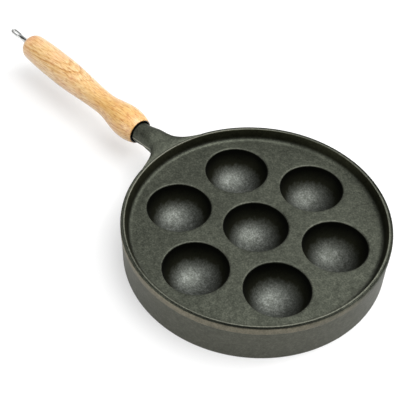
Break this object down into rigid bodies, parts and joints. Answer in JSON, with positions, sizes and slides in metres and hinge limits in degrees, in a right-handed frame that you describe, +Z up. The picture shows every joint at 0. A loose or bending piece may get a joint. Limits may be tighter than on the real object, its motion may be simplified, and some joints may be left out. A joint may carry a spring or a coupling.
{
  "type": "aebleskiver pan",
  "caption": "Round cast-iron pan with hemispherical cups for ball-shaped pancakes, a turned wooden grip held on a cast stub by a long screwed rod, and a slotted hanging eye.",
  "frame": {"origin": "on the pan's axis, in the plane that the foot ring stands on", "axes": "+Z up out of the cups, +X along the handle away from the pan"},
  "size_m": [0.4717, 0.2294, 0.0484],
  "materials": {
    "seasoned_iron": "oiled, as cast",
    "turned_wood": "clear satin varnish",
    "plated_steel": "plated"
  },
  "bodies": {
    "pan": {"pan_casting": "seasoned_iron"},
    "grip": {"wooden_grip": "turned_wood"},
    "rod": {"hanging_rod": "plated_steel"}
  },
  "joints": [
    {"name": "grip_slide", "type": "slide", "parent": "pan", "child": "grip", "axis": [1, 0, 0], "range_m": [0, 0.016]},
    {"name": "rod_turn", "type": "hinge", "parent": "grip", "child": "rod", "pos_m": [0.153, 0, 0.0329], "axis": [1, 0, 0], "range_deg": [0, 7200]}
  ],
  "couplings": [
    {"joint": "rod_turn", "follows": "grip_slide", "rad_per_m": 7853.9}
  ]
}
